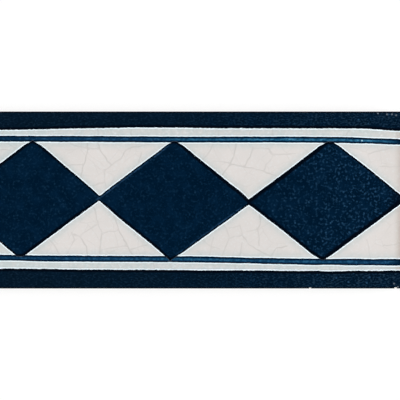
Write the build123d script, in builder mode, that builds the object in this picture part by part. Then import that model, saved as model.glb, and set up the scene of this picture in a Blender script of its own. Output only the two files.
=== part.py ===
from build123d import *
import os

# Border tile: one pressed and fired piece of glazed earthenware, lying on its back with its face up.
# X runs along the border, Y across it and Z up through the face. The origin is the middle of the back.
# The face carries a row of blue diamonds, tip to tip, between ruled lines and edge bands. That blue
# enamel is thicker than the white glaze, so the white shows as shallow sunk stripes and triangles.

# Driving dimensions, in millimetres: the pressed blank
TILE_LENGTH = 198.0
TILE_WIDTH = 78.0
TILE_THICKNESS = 9.0
EDGE_RADIUS = 0.5
BACK_CHAMFER = 0.5

# The drawn design, from the long edges inwards
BAND_WIDTH = 7.6
STRIPE_WIDTH = 3.6
LINE_WIDTH = 2.4
DIAMOND_COUNT = 3
TIP_NECK = 1.8
APEX_NECK = 2.4
FIELD_CORNER_RADIUS = 0.3
ENAMEL_RELIEF = 0.3

# The keying grooves pressed into the back
GROOVE_COUNT = 6
GROOVE_WIDTH = 5.0
GROOVE_DEPTH = 0.8
GROOVE_DRAFT_ANGLE = 20.0
BACK_MARGIN = 9.0

# Places worked out from the sizes above
diamond_pitch = TILE_LENGTH / DIAMOND_COUNT
stripe_centre = TILE_WIDTH / 2 - BAND_WIDTH - STRIPE_WIDTH / 2
field_half_height = TILE_WIDTH / 2 - BAND_WIDTH - STRIPE_WIDTH - LINE_WIDTH
groove_length = TILE_LENGTH - 2 * BACK_MARGIN
groove_pitch = (TILE_WIDTH - 2 * BACK_MARGIN - GROOVE_WIDTH) / (GROOVE_COUNT - 1)

# A white triangle points at the neck where two diamonds meet, and its base lies along a ruled line
triangle_tip = (0, TIP_NECK / 2)
triangle_base_left = (-diamond_pitch / 2 + APEX_NECK / 2, field_half_height)
triangle_base_right = (diamond_pitch / 2 - APEX_NECK / 2, field_half_height)

with BuildPart() as border_tile:
    # Pressed blank, with one soft radius on the face's rim and down the four corners
    with BuildSketch(Plane.XY):
        Rectangle(TILE_LENGTH, TILE_WIDTH)
    extrude(amount=TILE_THICKNESS)
    corner_edges = border_tile.edges().filter_by(Axis.Z)
    face_rim = border_tile.edges().group_by(Axis.Z)[-1]
    fillet(corner_edges + face_rim, radius=EDGE_RADIUS)
    back_rim = border_tile.edges().group_by(Axis.Z)[0]
    chamfer(back_rim, length=BACK_CHAMFER)

    # White ground, sunk between the raised enamel and running out at both ends of the tile
    with BuildSketch(Plane.XY.offset(TILE_THICKNESS)) as white_ground:
        with GridLocations(0, 2 * stripe_centre, 1, 2):
            Rectangle(TILE_LENGTH, STRIPE_WIDTH)
        with GridLocations(diamond_pitch, 0, DIAMOND_COUNT + 1, 1):
            for half_turn in (0, 180):
                Polygon(
                    triangle_tip,
                    triangle_base_right,
                    triangle_base_left,
                    rotation=half_turn,
                    align=None,
                )
        triangle_corners = white_ground.faces().filter_by(
            lambda field: len(field.vertices()) == 3
        ).vertices()
        fillet(triangle_corners, radius=FIELD_CORNER_RADIUS)
    extrude(amount=-ENAMEL_RELIEF, mode=Mode.SUBTRACT)

    # Keying grooves along the back, inside a plain rim, with drafted walls so that the die lifts out
    with BuildSketch(Plane.XY):
        with GridLocations(0, groove_pitch, 1, GROOVE_COUNT):
            SlotOverall(groove_length, GROOVE_WIDTH)
    extrude(amount=GROOVE_DEPTH, taper=GROOVE_DRAFT_ANGLE, mode=Mode.SUBTRACT)

border_tile.part.label = "border_tile"

os.makedirs("parts", exist_ok=True)
export_step(border_tile.part, "parts/border_tile.step")
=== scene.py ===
import math
import bmesh
import bpy
import numpy
from mathutils import Matrix, Vector, noise


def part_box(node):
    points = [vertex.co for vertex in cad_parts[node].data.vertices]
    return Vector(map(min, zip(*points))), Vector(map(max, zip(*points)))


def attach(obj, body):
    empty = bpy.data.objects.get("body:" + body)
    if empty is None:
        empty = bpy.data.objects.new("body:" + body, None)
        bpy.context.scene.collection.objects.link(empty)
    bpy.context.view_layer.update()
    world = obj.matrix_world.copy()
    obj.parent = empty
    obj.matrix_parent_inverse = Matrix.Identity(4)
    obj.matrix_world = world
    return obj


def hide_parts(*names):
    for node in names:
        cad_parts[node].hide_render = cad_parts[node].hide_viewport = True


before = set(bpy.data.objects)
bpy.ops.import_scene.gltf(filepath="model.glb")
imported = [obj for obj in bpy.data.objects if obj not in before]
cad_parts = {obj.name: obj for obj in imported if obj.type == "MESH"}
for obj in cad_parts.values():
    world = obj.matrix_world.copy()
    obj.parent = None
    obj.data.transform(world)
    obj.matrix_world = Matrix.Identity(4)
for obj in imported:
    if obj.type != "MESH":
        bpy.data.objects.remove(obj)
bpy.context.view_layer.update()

# The pressed blank
# A border tile of pale earthenware, pressed in one stroke from damp clay dust. The die leaves a soft
# radius round the face and down the corners, plain sides, and a small chamfer round the back.
MM = 0.001
RIM_RADIUS = 0.5 * MM
RIM_STEPS = 4
BACK_CHAMFER = 0.5 * MM
FACE_CELL = 0.47 * MM
SIDE_CELL = 0.9 * MM
back_corner, face_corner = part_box("border_tile")
tile_size = face_corner - back_corner
middle = (face_corner + back_corner) / 2

tile = bmesh.new()
bmesh.ops.create_cube(tile, size=1.0, matrix=Matrix.LocRotScale(middle, None, tile_size))


def ease(edges, offset, steps):
    """Rounds edges in several steps, or cuts a chamfer in one."""
    bmesh.ops.bevel(
        tile, geom=edges, offset=offset, segments=steps, profile=0.5, affect="EDGES", material=-1
    )


def back_face():
    return min(tile.faces, key=lambda face: face.calc_center_median().z)


face_and_corner_edges = [edge for edge in tile.edges if any(vert.co.z > middle.z for vert in edge.verts)]
ease(face_and_corner_edges, RIM_RADIUS, RIM_STEPS)
ease(back_face().edges[:], BACK_CHAMFER, 1)
bmesh.ops.delete(tile, geom=[back_face()], context="FACES_ONLY")

# Runs of edge along the length, the width and the thickness are cut into cells, for the hand-laid glaze
for axis, cell in ((0, FACE_CELL), (1, FACE_CELL), (2, SIDE_CELL)):
    long_runs = [
        edge
        for edge in tile.edges
        if abs((edge.verts[0].co - edge.verts[1].co)[axis]) > tile_size[axis] / 2
    ]
    cuts = round(tile_size[axis] / cell)
    bmesh.ops.subdivide_edges(tile, edges=long_runs, cuts=cuts, use_grid_fill=True)

# The keyed back
# Long round-ended grooves, pressed into the back by ribs on the die so that the bedding mortar grips.
# Their walls lean outwards, to let the die lift out of the clay.
GROOVE_COUNT = 6
GROOVE_WIDTH = 5.0 * MM
GROOVE_DEPTH = 0.8 * MM
GROOVE_DRAFT = math.radians(20.0)
GROOVE_END_SIDES = 26
BACK_MARGIN = 9.0 * MM
groove_pitch = (tile_size.y - 2 * BACK_MARGIN - GROOVE_WIDTH) / (GROOVE_COUNT - 1)
end_reach = tile_size.x / 2 - BACK_MARGIN - GROOVE_WIDTH / 2


def groove_ring(across, radius, height):
    """Edges of one long ring with round ends, made from a circle whose two halves are pulled apart."""
    place = Matrix.Translation((0, across, height))
    ring = bmesh.ops.create_circle(tile, segments=GROOVE_END_SIDES, radius=radius, matrix=place)["verts"]
    for way in (-1, 1):
        half = [vert for vert in ring if vert.co.x * way > 0]
        bmesh.ops.translate(tile, verts=half, vec=(way * end_reach, 0, 0))
    return list({edge for vert in ring for edge in vert.link_edges})


back_outlines = [edge for edge in tile.edges if edge.is_boundary]
floor_radius = GROOVE_WIDTH / 2 - GROOVE_DEPTH * math.tan(GROOVE_DRAFT)
for count in range(GROOVE_COUNT):
    groove_across = (count - (GROOVE_COUNT - 1) / 2) * groove_pitch
    mouth = groove_ring(groove_across, GROOVE_WIDTH / 2, back_corner.z)
    groove_floor = groove_ring(groove_across, floor_radius, back_corner.z + GROOVE_DEPTH)
    bmesh.ops.bridge_loops(tile, edges=mouth + groove_floor)
    bmesh.ops.contextual_create(tile, geom=groove_floor)
    back_outlines += mouth
bmesh.ops.triangle_fill(tile, edges=back_outlines, use_beauty=True, normal=(0, 0, -1))
bmesh.ops.recalc_face_normals(tile, faces=tile.faces)

tile_mesh = bpy.data.meshes.new("glazed_border_tile")
tile.to_mesh(tile_mesh)
tile.free()
glazed_border_tile = bpy.data.objects.new("glazed_border_tile", tile_mesh)
bpy.context.collection.objects.link(glazed_border_tile)

# The painted design
# Edge bands, ruled lines and a row of diamonds, laid on by hand in thick blue enamel before firing. The
# points are places along each drawn edge in millimetres from the middle of the tile.
UPPER_BAND_EDGE = (
    (-99, 30.7), (-70, 30.9), (-43, 31.6), (-12, 32.0), (20, 31.65), (50, 31.65), (80, 31.55), (99, 30.3),
)
LOWER_BAND_EDGE = (
    (-99, -30.2), (-60, -30.3), (-43, -30.7), (0, -30.85), (14, -31.1), (31, -31.0), (67, -31.4), (99, -31.1),
)
UPPER_LINE = (
    (-99, 27.1), (-57, 26.95), (-25, 26.77), (8, 26.57), (50, 26.6), (72, 26.4), (90, 25.9), (99, 25.5),
)
LOWER_LINE = (
    (-99, -25.1), (-72, -25.42), (-60, -25.75), (0, -26.03),
    (15, -26.27), (31, -26.65), (58, -27.2), (99, -27.45),
)
UPPER_LINE_HALF = ((-99, 1.25), (40, 1.25), (68, 1.3), (99, 1.1))
LOWER_LINE_HALF = ((-99, 1.15), (-60, 1.22), (-40, 1.3), (40, 1.25), (99, 1.4))
UPPER_ZIGZAG = (
    (-99, 0.1), (-63.8, 26.95), (-56.5, 21.05), (-50, 15.2), (-43, 9.5), (-37, 4.3),
    (-34.35, 1.7), (-20, 12.7), (-10, 20.05), (-1.3, 27.0), (14, 14.5), (28.5, 3.05),
    (31.3, 0.2), (46, 11.05), (67.1, 27.2), (75, 20.7), (85, 13.1), (99, 1.55),
)
LOWER_ZIGZAG = (
    (-99, -0.9), (-69.35, -25.85),
    (-34.5, -0.15), (-27, -6.85), (-21, -11.7), (-13, -18.1), (-8, -22.4), (-3.2, -27.0),
    (31.4, -2.0), (42, -10.0), (58, -22.8), (64, -27.2), (72.5, -20.65), (99, -1.2),
)

# A diamond's tip laps a little over its ruled line, and the enamel draws in just before it gets there
UPPER_TIP_OVERLAP = 0.4
LOWER_TIP_OVERLAP = ((-99, 0.4), (-9, 0.4), (-7, 2.6), (1, 2.6), (3, 0.4), (99, 0.4))
UPPER_PINCH = ((-64, 0.58), (0, 0.48), (67, 0.53))
LOWER_PINCH = ((-69, 0.0), (-3, 0.2), (64, 0.33))
PINCH_REACH = 1.5

# How far the enamel's near-black edge reaches in from each side of the diamonds, and round the bands
UPPER_POOL = (
    (-99, 1.3), (-64, 1.3), (-50, 0.9), (-37, 0.8), (-33, 0.4), (-4, 0.5),
    (0, 1.3), (30, 1.6), (62, 1.8), (70, 0.8), (99, 0.9),
)
LOWER_POOL = (
    (-99, 0.9), (-71, 0.9), (-66, 1.3), (-42, 1.3), (-35, 0.4), (-30, 1.2), (-6, 1.3),
    (0, 0.6), (27, 0.45), (34, 1.4), (60, 1.4), (68, 1.7), (99, 1.7),
)
BAND_POOL = 1.2

# How thinly each line was ruled: the thinner the enamel, the lighter its blue
UPPER_THIN = (
    (-99, 0.0), (-10, 0.05), (0, 0.45), (28, 0.62), (34, 0.9),
    (50, 0.9), (56, 0.65), (75, 0.65), (80, 1.0), (99, 0.7),
)
LOWER_THIN = ((-99, 0.05), (-20, 0.15), (-5, 0.4), (25, 0.3), (50, 0.2), (99, 0.1))

# Chips in the lower edge: along, across and radius
CHIPS = ((58.4, -39.0, 0.6), (96.0, -39.0, 0.65))
CHIP_NARROWING = 0.8
CHIP_SLOPE = 0.6
CHIP_DEPTH = 0.5

places = numpy.empty(len(tile_mesh.vertices) * 3)
tile_mesh.vertices.foreach_get("co", places)
along, across, up = places.reshape(-1, 3).T / MM
length, width, thickness = tile_size / MM


def drawn(points):
    """Height of a drawn edge at every place along the tile."""
    return numpy.interp(along, *zip(*points))


def soft_step(value, start, end):
    share = numpy.clip((value - start) / (end - start), 0, 1)
    return share * share * (3 - 2 * share)


def hand_wander(size, layer):
    """Slow unevenness of hand work, about -0.5 to 0.5, that repeats in no place."""
    return numpy.array([noise.noise((x / size, y / size, layer)) for x, y in zip(along, across)])


# Depth of enamel in from its own edge, in millimetres, and below zero outside it
SLOW_WOBBLE = 0.12
QUICK_WOBBLE = 0.08
EDGE_SLOPE = 0.79
wobble = SLOW_WOBBLE * hand_wander(size=9.0, layer=1.0) + QUICK_WOBBLE * hand_wander(size=1.7, layer=2.0)
in_bands = numpy.maximum(across - drawn(UPPER_BAND_EDGE), drawn(LOWER_BAND_EDGE) - across)
in_upper_line = drawn(UPPER_LINE_HALF) - abs(across - drawn(UPPER_LINE))
in_lower_line = drawn(LOWER_LINE_HALF) - abs(across - drawn(LOWER_LINE))
in_lines = numpy.maximum(in_upper_line, in_lower_line)
under_zigzag = drawn(UPPER_ZIGZAG) - across
over_zigzag = across - drawn(LOWER_ZIGZAG)
in_diamonds = EDGE_SLOPE * numpy.minimum(under_zigzag, over_zigzag)
tip_pinch = numpy.where(across > 0, drawn(UPPER_PINCH), drawn(LOWER_PINCH))
in_diamonds = in_diamonds - tip_pinch * soft_step(in_lines, -PINCH_REACH, 0.0)
tip_overlap = numpy.where(across > 0, UPPER_TIP_OVERLAP, drawn(LOWER_TIP_OVERLAP))
in_diamonds = numpy.minimum(in_diamonds, tip_overlap - in_lines)
broad_enamel = numpy.maximum(in_bands, in_diamonds) + wobble
ruled_enamel = in_lines + wobble
diamond_pool = numpy.where(under_zigzag < over_zigzag, drawn(UPPER_POOL), drawn(LOWER_POOL))
pooled_edge = numpy.where(in_bands > in_diamonds, BAND_POOL, diamond_pool)
ruled_thin = numpy.where(across > 0, drawn(UPPER_THIN), drawn(LOWER_THIN))
chipped = numpy.maximum.reduce([
    radius - numpy.sqrt(((along - x) * CHIP_NARROWING) ** 2 + (across - y) ** 2 + (up - thickness) ** 2)
    for x, y, radius in CHIPS
])

# The enamel stands above the white ground, with a rounded shoulder, and the whole face is a little uneven
ENAMEL_RELIEF = 0.3
SHOULDER = (-0.3, 0.8)
FACE_DIP = 0.05
HIGHEST_WANDER = 0.7
SHARP_ANGLE = math.radians(35)
rim = RIM_RADIUS / MM
faceward = numpy.clip((up - thickness + rim) / rim, 0, 1)
sunk = 1 - soft_step(numpy.maximum(broad_enamel, ruled_enamel), *SHOULDER)
dip = FACE_DIP * (HIGHEST_WANDER + hand_wander(size=24.0, layer=3.0))
up = up - faceward * (ENAMEL_RELIEF * sunk + dip)
chip_depth = CHIP_DEPTH * soft_step(chipped, 0, CHIP_SLOPE)
up = up - chip_depth
across = across + chip_depth
places = numpy.stack((along, across, up), axis=1) * MM
tile_mesh.vertices.foreach_set("co", places.ravel())
tile_mesh.polygons.foreach_set("use_smooth", [True] * len(tile_mesh.polygons))
tile_mesh.set_sharp_from_angle(angle=SHARP_ANGLE)


def paint(name, amount):
    """Keeps an amount at every vertex, for the material to read."""
    tile_mesh.attributes.new(name, "FLOAT", "POINT").data.foreach_set("value", amount)


paint("broad_enamel", broad_enamel)
paint("ruled_enamel", ruled_enamel)
paint("pooled_edge", pooled_edge)
paint("ruled_thin", ruled_thin)
paint("chipped", chipped)

# The crazing
# Hairline cracks in the white glaze, which shrank more than the clay as the tile cooled. The points
# are the turns of each crack in millimetres from the middle of the tile, clear cracks and then faint ones.
CLEAR_CRACKS = (
    ((-39.5, 25), (-40, 20.5), (-41, 16.5), (-42.7, 10.5)),
    ((-32.2, 13), (-29.2, 15.3), (-25, 18.3), (-23.5, 21), (-20.5, 23), (-11, 24.8)),
    ((-35, 24.5), (-33.5, 21), (-29.2, 15.3)),
    ((26, 25), (25.3, 21), (23.4, 15.8), (19.7, 11.3)),
    ((33.5, 23), (32, 19.5), (29.4, 14.7)),
    ((23.4, 15.8), (29.4, 14.7), (37.5, 13), (43.5, 10.5)),
    ((-36.5, -4), (-35, -10.3), (-33.3, -14.2), (-34, -20), (-34.2, -24)),
    ((-33.3, -14.2), (-29, -14.1), (-25.8, -13.4)),
    ((-28, -7.5), (-25.8, -13.4), (-22.3, -20), (-20, -24)),
    ((-45.5, -15.4), (-43, -15.8), (-40.3, -20.5), (-39.7, -24)),
    ((36.3, -7), (36.4, -10.5), (35.5, -13)),
    ((19.8, -24.5), (21.8, -19), (22.9, -16.7), (28.5, -15.4), (31.2, -19.5), (36, -22.3), (41, -24.8)),
    ((41, -24.8), (44, -21), (48, -20.4)),
    ((-20.5, 27.5), (-20, 32.5)), ((31.5, 28), (33.3, 31.5)),
    ((73.5, 27.5), (76.3, 31.5)), ((96.8, 27), (96.8, 30.5)),
)
FAINT_CRACKS = (
    ((-47, 24.6), (-43.5, 23.5), (-35.3, 22.4)),
    ((-32.2, 13), (-32, 8), (-31.3, 5.5)),
    ((-37, 6.5), (-32, 8)),
    ((-16, 20.5), (-17.3, 15.5)),
    ((-48.5, 15.6), (-41.5, 15.3)),
    ((33.5, 23), (40, 22.5), (42, 20), (51.5, 20.4)),
    ((42.7, 20), (39, 15.7), (38.3, 13)),
    ((16, 24.8), (14, 21.5), (11, 17.5)),
    ((16.5, 17.2), (20, 16.9), (23.4, 15.8)),
    ((84.5, 20.5), (90.5, 22), (94.5, 22.9)),
    ((89.5, 14.8), (94, 14.7), (99, 15)),
    ((-46.6, -14.6), (-45.3, -17.7), (-47.3, -20.5), (-48.6, -24)),
    ((-43, -15.8), (-40.5, -14), (-35, -10.3)),
    ((-56.3, -17.5), (-54, -20.5), (-52, -24)),
    ((-34, -22), (-28, -21), (-22.3, -20)),
    ((-21, -22.3), (-17.5, -20.8), (-13.5, -19.7)),
    ((31, -13.6), (35.5, -13), (36, -19.5)),
    ((20.3, -11), (21.6, -13), (22.9, -16.7)),
    ((23, -12.3), (27.5, -11.3), (28.5, -15.4)),
    ((15.6, -17), (15, -20.5), (13.7, -24.5)),
    ((11, -17.8), (15, -20.5), (18, -21.5)),
    ((28.5, -19), (27.3, -24.6)),
    ((83.5, -18), (84.2, -22.5), (85, -25.2)),
    ((90.8, -20), (95.5, -19.8), (97.5, -19)),
    ((-35, 28), (-35, 32)), ((18, 28), (18, 31.5)), ((41.7, 28), (41.8, 31.5)),
    ((-48, -26.5), (-48, -30.5)), ((-35, -27), (-35.3, -31)), ((-18.5, -30.5), (-15.5, -27.5)),
    ((-10.7, -27), (-10, -31)), ((-3, -27), (-2.7, -31)), ((25.3, -27.5), (25, -31)),
    ((38, -28), (38.5, -31.5)), ((67, -28.5), (67, -32)),
)
CLEAR_DEPTH = 0.68
FAINT_DEPTH = 0.5
CRACK_WANDER = 0.5
WANDER_SIZE = 2.6
wandered_along = along + CRACK_WANDER * hand_wander(WANDER_SIZE, layer=5.0)
wandered_across = across + CRACK_WANDER * hand_wander(WANDER_SIZE, layer=6.0)

# Each vertex keeps its distance from the nearest crack, with the side it lies on, and that crack's depth
crack_side = numpy.full(len(along), length)
crack_reach = numpy.full(len(along), length)
crack_depth = numpy.zeros(len(along))
for depth, cracks in ((CLEAR_DEPTH, CLEAR_CRACKS), (FAINT_DEPTH, FAINT_CRACKS)):
    for turns in cracks:
        for (x0, y0), (x1, y1) in zip(turns, turns[1:]):
            run = math.hypot(x1 - x0, y1 - y0)
            ahead = ((wandered_along - x0) * (x1 - x0) + (wandered_across - y0) * (y1 - y0)) / run
            beside = ((wandered_along - x0) * (y1 - y0) - (wandered_across - y0) * (x1 - x0)) / run
            reach = numpy.hypot(beside, ahead - numpy.clip(ahead, 0, run))
            nearer = reach < crack_reach
            crack_side[nearer] = beside[nearer]
            crack_reach[nearer] = reach[nearer]
            crack_depth[nearer] = depth
paint("crack_side", crack_side)
paint("crack_reach", crack_reach)
paint("crack_depth", crack_depth)


# The glaze and the biscuit
# White tin glaze, crazed all over by fine cracks, with the blue enamel melted into it. It runs over the
# rim and stops part of the way down the sides, where the bare biscuit clay begins.
class Wire:
    """A shader socket. Arithmetic on wires adds Math nodes, and node() adds any other node."""

    def __init__(self, tree, socket=None):
        self.tree = tree
        self.socket = socket

    def node(self, kind, settings, inputs, output=0):
        made = self.tree.nodes.new(kind)
        for name, setting in settings.items():
            setattr(made, name, setting)
        for name, value in inputs.items():
            if isinstance(value, Wire):
                self.tree.links.new(value.socket, made.inputs[name])
            else:
                made.inputs[name].default_value = value
        return Wire(self.tree, made.outputs[output] if made.outputs else None)

    def math(self, operation, first, second=0.0):
        return self.node("ShaderNodeMath", {"operation": operation}, {0: first, 1: second})

    def __add__(self, other):
        return self.math("ADD", self, other)

    def __sub__(self, other):
        return self.math("SUBTRACT", self, other)

    def __rsub__(self, other):
        return self.math("SUBTRACT", other, self)

    def __mul__(self, other):
        return self.math("MULTIPLY", self, other)

    __radd__ = __add__
    __rmul__ = __mul__

    def __abs__(self):
        return self.math("ABSOLUTE", self)

    def larger(self, other):
        return self.math("MAXIMUM", self, other)

    def rise(self, start, end):
        """0 before start and 1 past end, with a soft turn between them."""
        span = {"Value": self, "From Min": start, "From Max": end}
        return self.node("ShaderNodeMapRange", {"interpolation_type": "SMOOTHSTEP"}, span)

    def blend(self, first, second):
        """A colour that goes from first to second as this wire goes from 0 to 1."""
        return self.node("ShaderNodeMix", {"data_type": "RGBA"}, {0: self, 6: first, 7: second}, 2)

    def axis(self, letter):
        """One coordinate of a vector."""
        return self.node("ShaderNodeSeparateXYZ", {}, {"Vector": self}, letter)

    def shifted(self, vector):
        return self.node("ShaderNodeVectorMath", {"operation": "ADD"}, {0: self, 1: vector})

    def scaled(self, factor):
        return self.node("ShaderNodeVectorMath", {"operation": "SCALE"}, {0: self, "Scale": factor})

    def stretched(self, factors):
        return self.node("ShaderNodeVectorMath", {"operation": "MULTIPLY"}, {0: self, 1: factors})

    def away_from(self, place):
        return self.node("ShaderNodeVectorMath", {"operation": "DISTANCE"}, {0: self, 1: place}, "Value")

    def cloud(self, size, detail=2.0, output="Fac"):
        """Noise whose lumps are about that many millimetres across."""
        inputs = {"Vector": self, "Scale": 1 / size, "Detail": detail}
        return self.node("ShaderNodeTexNoise", {}, inputs, output)

    def cells(self, size, feature, output="Distance", space="2D"):
        """Cells like those of cracked mud, about that many millimetres across."""
        settings = {"voronoi_dimensions": space, "feature": feature}
        return self.node("ShaderNodeTexVoronoi", settings, {"Vector": self, "Scale": 1 / size}, output)

    def painted(self, name):
        """An amount that paint() kept at the vertices."""
        return self.node("ShaderNodeAttribute", {"attribute_name": name}, {}, "Fac")


def srgb(red, green, blue):
    """A colour written as it looks on a screen, 0 to 255, as the linear colour that shaders take."""
    shares = [level / 255 for level in (red, green, blue)]
    return (*[x / 12.92 if x <= 0.04045 else ((x + 0.055) / 1.055) ** 2.4 for x in shares], 1.0)


WHITE_GLAZE = srgb(221, 216, 213)
WARM_GLAZE = srgb(216, 212, 209)
COOL_GLAZE = srgb(193, 202, 202)
GLAZE_LIP = srgb(236, 249, 255)
THIN_GLAZE_AND_SHADE = srgb(178, 166, 155)
CRACK_GREY = srgb(178, 175, 171)
NAVY = srgb(0, 22, 42)
NAVY_CLOUD = srgb(2, 28, 51)
NAVY_BAND = srgb(6, 21, 33)
NAVY_RIM = srgb(2, 8, 19)
GRAIN_GLINT_BLUE = srgb(52, 94, 130)
GRAIN_GLINT_GREY = srgb(64, 92, 114)
MARGIN_BLUE = srgb(36, 66, 96)
RULED_EDGE = srgb(1, 24, 46)
RULED_BLUE = srgb(19, 57, 91)
RULED_TEAL = srgb(32, 100, 134)
RULED_LIGHT = srgb(78, 146, 184)
PAINTED_GLINT = srgb(176, 222, 246)
SPECK_GREY = srgb(128, 140, 152)
BISCUIT = srgb(236, 227, 211)
BISCUIT_DARK = srgb(226, 214, 195)
BISCUIT_SPECK = srgb(196, 172, 140)
CHIP_WHITE = srgb(242, 239, 232)

glaze = bpy.data.materials.new("crazed_glaze_with_enamel")
glaze.use_nodes = True
glaze.node_tree.nodes.clear()
start = Wire(glaze.node_tree)
point = start.node("ShaderNodeTexCoord", {}, {}, "Object").scaled(1 / MM)
along_tile = point.axis("X")
across_tile = point.axis("Y")
height = point.axis("Z")
from_middle = abs(across_tile)

# Where the white stripes and the edge bands begin, out from the middle line
STRIPE_START = (27.4, 28.2)
BAND_START = (29.5, 30.5)
in_stripe = from_middle.rise(*STRIPE_START)
in_band = from_middle.rise(*BAND_START)

# Enamel edges, ragged by the grain of the glaze
GRAIN_SIZE = 1.1
ENAMEL_SPREAD = 0.08
EDGE_SOFTNESS = (-0.04, 0.04)
ragged = (point.cloud(GRAIN_SIZE) - 0.5) * (0.3 + in_band * 0.3) + ENAMEL_SPREAD
broad = start.painted("broad_enamel") + ragged
ruled = start.painted("ruled_enamel") + ragged
nearest = broad.larger(ruled)
broad_mask = broad.rise(*EDGE_SOFTNESS)
ruled_mask = ruled.rise(*EDGE_SOFTNESS) * (1 - broad_mask)

# Crazing: the cracks set out above, over a faint net of long hairlines with shorter ones that stop where
# they meet them. The net is clearer at the left end, which has none of those cracks
LONG_CELL = 21.0
SHORT_CELL = 12.0
CELL_SHIFT = 300.0
NET_DRIFT = 3.4
NET_CLEARER = (-66.0, -82.0)
HAIRLINE_WIDTH = (0.26, 0.08)
CRACK_WIDTH = (0.46, 0.08)
CRACK_END = (0.7, 0.48)
drift = point.cloud(7.0, 2.0, "Color").shifted((-0.5, -0.5, -0.5)).scaled(NET_DRIFT)
crazed = point.shifted(drift)
long_gap = crazed.cells(LONG_CELL, "DISTANCE_TO_EDGE") * LONG_CELL
short_field = crazed.shifted(crazed.cells(LONG_CELL, "F1", "Color").scaled(CELL_SHIFT))
short_gap = short_field.cells(SHORT_CELL, "DISTANCE_TO_EDGE") * SHORT_CELL
strength = point.cloud(6.0).rise(0.36, 0.62)
hairline = long_gap.rise(*HAIRLINE_WIDTH).larger(short_gap.rise(*HAIRLINE_WIDTH))
hairline = hairline * (0.15 + strength * 0.85)
hairline = hairline * (0.25 + along_tile.rise(*NET_CLEARER) * 0.65)
drawn_crack = abs(start.painted("crack_side")).rise(*CRACK_WIDTH)
drawn_crack = drawn_crack * start.painted("crack_reach").rise(*CRACK_END)
drawn_crack = drawn_crack * start.painted("crack_depth") * (0.5 + strength * 0.5)
crack = hairline.larger(drawn_crack)

# White ground, cooler in the stripes, close to the enamel and towards the left, with a pale lip along the
# enamel. Towards the right end it darkens to a brown: painted shade where the tile ends, tinted by the clay
# under the thinner glaze
MARGIN = (-5.0, -0.6)
LIP = (-0.54, -0.36)
LEFT_SHADE_ALONG = (-46.0, -74.0)
LEFT_SHADE_ACROSS = (-90.0, 20.0)
END_TONE_ALONG = (84.0, 96.0)
END_TONE_LOWER = (-24.0, -28.0)
END_TONE_UPPER = (24.0, 28.0)
END_WARM = (84.0, 93.0)
END_BROWN_ALONG = (94.7, 100.8)
END_BROWN_ACROSS = (5.0, -15.0)
white = point.cloud(16.0).rise(0.3, 0.75).blend(WHITE_GLAZE, WARM_GLAZE)
mottle = point.cloud(1.6)
margin = nearest.rise(*MARGIN)
left_dim = along_tile.rise(*LEFT_SHADE_ALONG) * across_tile.rise(*LEFT_SHADE_ACROSS)
# Painted shade near the right end: darker in the lower stripe, a little lighter in the upper one
end_tone = across_tile.rise(*END_TONE_LOWER) * 0.22 - across_tile.rise(*END_TONE_UPPER) * 0.4
closeness = (margin * margin * 0.56 + in_stripe * 0.24) * (0.1 + mottle * 1.8)
closeness = closeness + left_dim * 0.3 + along_tile.rise(*END_TONE_ALONG) * end_tone
white = closeness.blend(white, COOL_GLAZE)
# Painted shade at the right end, browned by the clay under the thinner glaze
end_thin_and_shade = along_tile.rise(*END_BROWN_ALONG) * (0.85 + across_tile.rise(*END_BROWN_ACROSS) * 0.3)
white = (end_thin_and_shade + along_tile.rise(*END_WARM) * 0.07).blend(white, THIN_GLAZE_AND_SHADE)
white = (point.cloud(1.0, 1.0).rise(0.5, 0.8) * (0.14 + in_stripe * 0.12)).blend(white, GLAZE_LIP)
white = (crack * 0.62).blend(white, CRACK_GREY)
white = nearest.rise(*LIP).blend(white, GLAZE_LIP)

# Broad blue enamel: cloudy and granular, with painted glints on the grain that grow towards the right, where
# the light falls. In the bands the brush drew the grain out
BRUSHED = (1.0, 1.6, 1.0)
LONE_GRAIN_CELL = 2.0
LONE_GRAIN = (0.6, 0.2)
GLINT_FULL = 95.0
grain = point.cloud(GRAIN_SIZE, 1.0)
band_grain = point.stretched(BRUSHED).cloud(GRAIN_SIZE, 1.0)
# How strongly the grain shows: its own speckle, plus painted glints that grow towards the right
grain_and_glint = 0.32 - in_band * (0.1 + across_tile.rise(-20.0, 20.0) * 0.06)
grain_and_glint = 0.11 - in_band * 0.03 + along_tile.rise(20.0 - in_band * 15.0, GLINT_FULL) * grain_and_glint
grain_and_glint = grain_and_glint * (0.5 + point.cloud(3.5, 1.0))
navy = point.cloud(5.0, 3.0).rise(0.35, 0.7).blend(NAVY, NAVY_CLOUD)
navy = (in_band * (0.6 - along_tile.rise(-40.0, 70.0) * 0.4)).blend(navy, NAVY_BAND)
navy = (band_grain.rise(0.46, 0.26) * in_band * 0.45).blend(navy, NAVY_RIM)
navy = (grain.rise(0.5, 0.78) * grain_and_glint * (1 - in_band)).blend(navy, GRAIN_GLINT_BLUE)
navy = (band_grain.rise(0.46, 0.76) * grain_and_glint * in_band).blend(navy, GRAIN_GLINT_GREY)
# Lone lighter grains, partly painted glints, brighter towards the right
picked = point.cells(LONE_GRAIN_CELL, "F1", "Color", "3D").away_from((0.0, 0.0, 0.0)).rise(0.95, 1.2)
lone_grain_and_glint = (point.cells(LONE_GRAIN_CELL, "F1", "Distance", "3D") * LONE_GRAIN_CELL).rise(*LONE_GRAIN)
lone_grain_and_glint = lone_grain_and_glint * picked * (1 - in_band * along_tile.rise(75.0, 35.0) * 0.7)
navy = (lone_grain_and_glint * (0.14 + along_tile.rise(-10.0, 80.0) * 0.34)).blend(navy, GRAIN_GLINT_BLUE)
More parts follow.
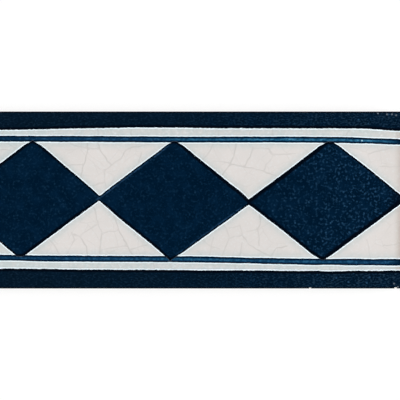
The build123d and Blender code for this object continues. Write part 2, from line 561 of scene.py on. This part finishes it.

# Its edges: a lighter blue margin where the dark edge is narrowest, then near black where it pools. Near
# black again along the tile's rim and towards the right end, as painted shade, with a few pale specks there
RIM_SHADE = (1.0, 0.6)
END_SHADE_ALONG = (91.0, 98.0)
END_SHADE_ACROSS = (20.0, 5.0)
PALE_SPECKS = ((88.2, 38.1), (92.2, 37.7), (94.4, 37.7), (96.2, 37.3), (97.0, -38.2), (95.3, -36.8))
SPECK = (0.55, 0.2)
pool = start.painted("pooled_edge")
# A lighter blue margin, where the dark edge is narrowest
light_margin = pool.rise(0.7, 0.42) * broad.rise(0.5, 0.8) * broad.rise(1.4, 1.0)
navy = (light_margin * point.cloud(1.4).rise(0.35, 0.65)).blend(navy, MARGIN_BLUE)
pool = pool * (0.8 + point.cloud(2.5) * 0.4)
navy = broad.rise(pool * 1.25, pool * 0.75).blend(navy, NAVY_RIM)
# Painted shade: near black along the tile's rounded rim and towards the right end
from_rim = (width / 2 - from_middle) + (thickness - height) * 1.2
navy = (from_rim.rise(*RIM_SHADE) * 0.8).blend(navy, NAVY_RIM)
end_shade = along_tile.rise(*END_SHADE_ALONG) * across_tile.rise(*END_SHADE_ACROSS)
navy = (end_shade * (0.8 - in_band * 0.6)).blend(navy, NAVY_RIM)
# A few pale grey specks near the rim at the right end
for x, y in PALE_SPECKS:
    navy = (point.away_from((x, y, thickness)).rise(*SPECK) * 0.5).blend(navy, SPECK_GREY)

# Ruled lines: lighter and streaky where they were ruled thinly, dark along both edges, darker towards the
# right end as painted shade, and one painted glint
STREAK_SIZE = 0.8
STREAKED = (0.4, 1.0, 1.0)
LINE_CORE = (0.6, 1.25)
LINE_EDGE = (1.15, 0.5)
LINE_END = (91.0, 99.0)
GLINT_PLACE = (81.2, 26.1, 8.9)
GLINT_SIZE = (0.45, 0.2)
thin = start.painted("ruled_thin")
streak = point.stretched(STREAKED).cloud(STREAK_SIZE, 2.0)
core = ruled.rise(*LINE_CORE)
line_blue = (thin * core).blend(RULED_BLUE, RULED_TEAL)
line_blue = (streak.rise(0.5, 0.64) * thin * thin * core).blend(line_blue, RULED_LIGHT)
line_blue = (grain.rise(0.5, 0.66) * core * 0.2).blend(line_blue, RULED_LIGHT)
line_blue = (grain.rise(0.52, 0.34) * core * 0.5).blend(line_blue, RULED_EDGE)
# Painted shade darkens the lines towards the right end
line_blue = (along_tile.rise(*LINE_END) + left_dim * 0.42).blend(line_blue, RULED_EDGE)
line_blue = ruled.rise(*LINE_EDGE).blend(line_blue, RULED_EDGE)
# A painted glint: one pale dot on the upper line
line_blue = point.away_from(GLINT_PLACE).rise(*GLINT_SIZE).blend(line_blue, PAINTED_GLINT)
colour = broad_mask.blend(white, navy)
colour = ruled_mask.blend(colour, line_blue)
chip_mask = (start.painted("chipped") + ragged).rise(0.1, 0.2)
colour = chip_mask.blend(colour, CHIP_WHITE)

# Bare biscuit below the height where the glaze stopped running
GLAZE_STOP = 4.4
SLOW_RUN = 4.0
QUICK_RUN = 1.2
bare_line = GLAZE_STOP + (point.cloud(14.0) - 0.5) * SLOW_RUN + (point.cloud(3.0) - 0.5) * QUICK_RUN
bare = (height - bare_line).rise(0.12, -0.12)
clay = point.cloud(14.0, 4.0).rise(0.3, 0.7).blend(BISCUIT, BISCUIT_DARK)
clay = (point.cloud(0.7, 1.0).rise(0.66, 0.76) * 0.5).blend(clay, BISCUIT_SPECK)
colour = bare.blend(colour, clay)

# Fine relief, in millimetres, and shine
GRAIN_HEIGHT = 0.08
PEEL_HEIGHT = 0.10
CRACK_DROP = -0.02
CLAY_HEIGHT = 0.12
GLAZE_ROUGHNESS = 0.12
enamel = broad_mask + ruled_mask
grain_height = (grain - 0.5) * enamel * GRAIN_HEIGHT
peel_height = (point.cloud(3.5, 1.0) - 0.5) * PEEL_HEIGHT
crack_height = crack * (1 - enamel) * CRACK_DROP
clay_height = (point.cloud(0.5, 3.0) - 0.5) * CLAY_HEIGHT
relief = (grain_height + peel_height + crack_height) * (1 - bare) + clay_height * bare
normal = start.node("ShaderNodeBump", {}, {"Strength": 1.0, "Distance": MM, "Height": relief})
roughness = GLAZE_ROUGHNESS + enamel * 0.02 + from_rim.rise(0.5, 0.2) * 0.3 + bare.larger(chip_mask) * 0.5
finish = {"Base Color": colour, "Roughness": roughness, "Normal": normal}
surface = start.node("ShaderNodeBsdfPrincipled", {}, finish, "BSDF")
start.node("ShaderNodeOutputMaterial", {}, {"Surface": surface})
tile_mesh.materials.append(glaze)

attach(glazed_border_tile, "root")
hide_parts("border_tile")

# The floor
# A plain white sheet under the tile, which takes its soft shadow. It glows to the eye and in mirrors
# alone, so that it stays white without lighting the tile.
FLOOR_SIZE = 6.0
FLOOR_DROP = 0.05 * MM
FLOOR_WHITE = 0.22
floor_form = bmesh.new()
bmesh.ops.create_grid(floor_form, x_segments=1, y_segments=1, size=FLOOR_SIZE / 2)
bmesh.ops.translate(floor_form, verts=floor_form.verts, vec=(0, 0, back_corner.z - FLOOR_DROP))
floor_mesh = bpy.data.meshes.new("floor")
floor_form.to_mesh(floor_mesh)
floor_form.free()
floor = bpy.data.objects.new("floor", floor_mesh)
bpy.context.collection.objects.link(floor)
paper = bpy.data.materials.new("white_paper")
paper.use_nodes = True
paper.node_tree.nodes.clear()
sheet = Wire(paper.node_tree)
camera_ray = sheet.node("ShaderNodeLightPath", {}, {}, "Is Camera Ray")
glossy_ray = sheet.node("ShaderNodeLightPath", {}, {}, "Is Glossy Ray")
clear_ray = sheet.node("ShaderNodeLightPath", {}, {}, "Is Transmission Ray")
glow_seen = camera_ray.larger(glossy_ray.larger(clear_ray)) * (1 - FLOOR_WHITE)
matt = sheet.node("ShaderNodeBsdfDiffuse", {}, {"Color": (FLOOR_WHITE, FLOOR_WHITE, FLOOR_WHITE, 1.0)})
glow = sheet.node("ShaderNodeEmission", {}, {"Color": (1.0, 1.0, 1.0, 1.0), "Strength": glow_seen})
both = sheet.node("ShaderNodeAddShader", {}, {0: matt, 1: glow})
sheet.node("ShaderNodeOutputMaterial", {}, {"Surface": both})
floor_mesh.materials.append(paper)

# Light
# Two soft lamps stand beside the tile, the right one a little higher. The room is pale near the
# horizon and dark overhead, so that the face, seen from above, mirrors nothing bright.
ROOM_FADE = (0.6, 0.15)
bpy.context.scene.view_settings.view_transform = "Standard"


def lamp(name, place, size, power):
    data = bpy.data.lights.new(name, "AREA")
    data.shape = "SQUARE"
    data.size = size
    data.energy = power
    stand = bpy.data.objects.new(name, data)
    stand.location = place
    stand.rotation_euler = (-Vector(place)).to_track_quat("-Z", "Y").to_euler()
    bpy.context.collection.objects.link(stand)


lamp("right_lamp", place=(0.78, 0.0, 0.52), size=0.45, power=8.1)
lamp("left_lamp", place=(-0.80, 0.0, 0.46), size=0.50, power=8.3)
room = bpy.data.worlds.new("room")
room.use_nodes = True
room.node_tree.nodes.clear()
sky = Wire(room.node_tree)
elevation = sky.node("ShaderNodeTexCoord", {}, {}, "Generated").axis("Z")
brightness = elevation.rise(*ROOM_FADE)
dome = sky.node("ShaderNodeBackground", {}, {"Color": (1.0, 1.0, 1.0, 1.0), "Strength": brightness})
sky.node("ShaderNodeOutputWorld", {}, {"Surface": dome})
bpy.context.scene.world = room

# Camera
# It looks straight down on the face, a little to the right of the middle, so that the left end is cut off.
VIEW_WIDTH = 176.0 * MM
VIEW_CENTRE = (9.9 * MM, 0.0)
LENS = 100.0
camera_data = bpy.data.cameras.new("camera")
camera_data.lens = LENS
camera = bpy.data.objects.new("camera", camera_data)
stand_off = VIEW_WIDTH * LENS / camera_data.sensor_width
camera.location = (*VIEW_CENTRE, face_corner.z + stand_off)
bpy.context.collection.objects.link(camera)
bpy.context.scene.camera = camera
